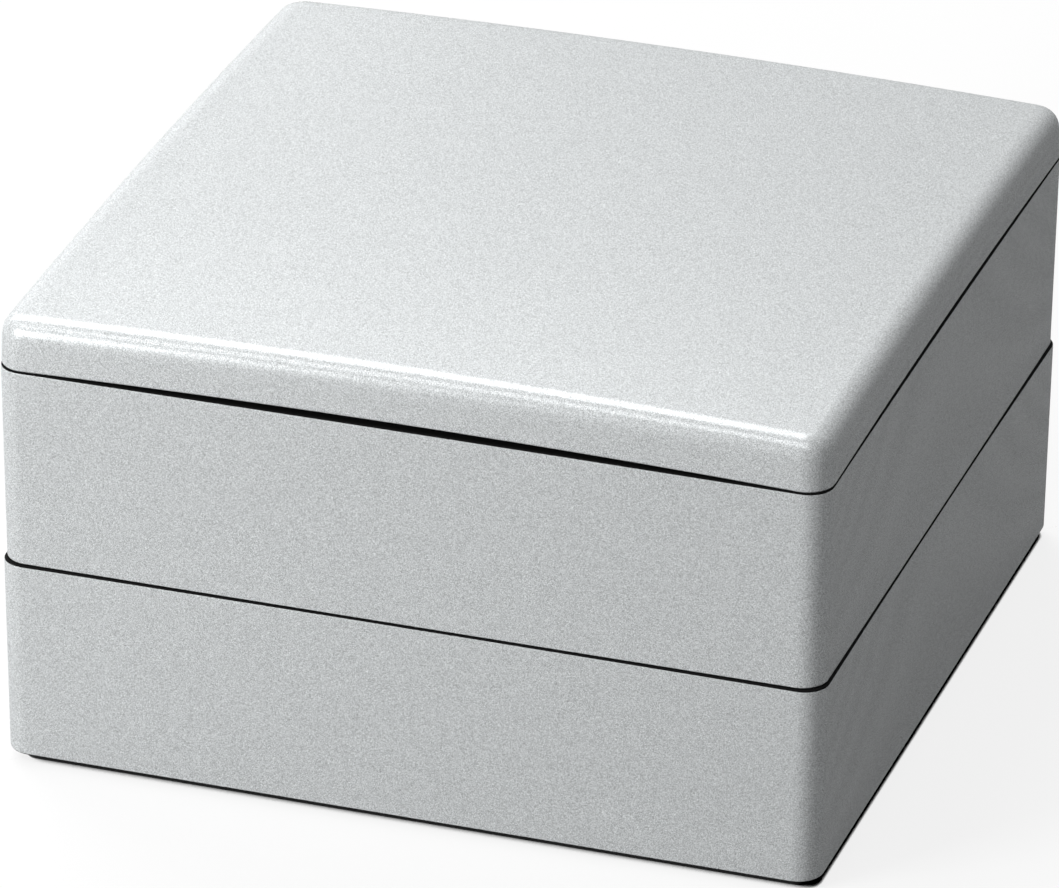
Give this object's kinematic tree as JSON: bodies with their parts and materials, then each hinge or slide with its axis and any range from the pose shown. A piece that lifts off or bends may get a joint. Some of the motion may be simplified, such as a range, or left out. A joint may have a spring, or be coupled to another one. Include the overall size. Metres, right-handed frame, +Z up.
{
  "type": "stacking food box",
  "caption": "Square stacking food box with rounded corners: drafted tiers that nest foot in mouth, under a shallow crowned lift-off lid.",
  "frame": {"origin": "middle of the footprint, at the underside of the lower tier's foot", "axes": "+Z up, the way the tiers and the lid lift off; -Y towards the picture's left-hand long face, +X towards its right-hand face"},
  "size_m": [0.195, 0.195, 0.1149],
  "materials": {
    "silver_lacquer_lid": "satin silver lacquer with a fine flake outside, black lacquer underneath, over moulded black resin that stays bare on the edges",
    "silver_lacquer_upper": "satin silver lacquer with a fine flake outside, black lacquer inside and on the foot, over moulded black resin that stays bare on the edges",
    "silver_lacquer_lower": "satin silver lacquer with a fine flake outside, black lacquer inside and on the foot, over moulded black resin that stays bare on the edges"
  },
  "bodies": {
    "lower_tier": {"lower_tier": "silver_lacquer_lower"},
    "upper_tier": {"upper_tier": "silver_lacquer_upper"},
    "lid": {"lid": "silver_lacquer_lid"}
  },
  "joints": [
    {"name": "tier_lift", "type": "slide", "parent": "lower_tier", "child": "upper_tier", "axis": [0, 0, 1], "range_m": [0, 0.08]},
    {"name": "lid_lift", "type": "slide", "parent": "upper_tier", "child": "lid", "axis": [0, 0, 1], "range_m": [0, 0.08]}
  ]
}
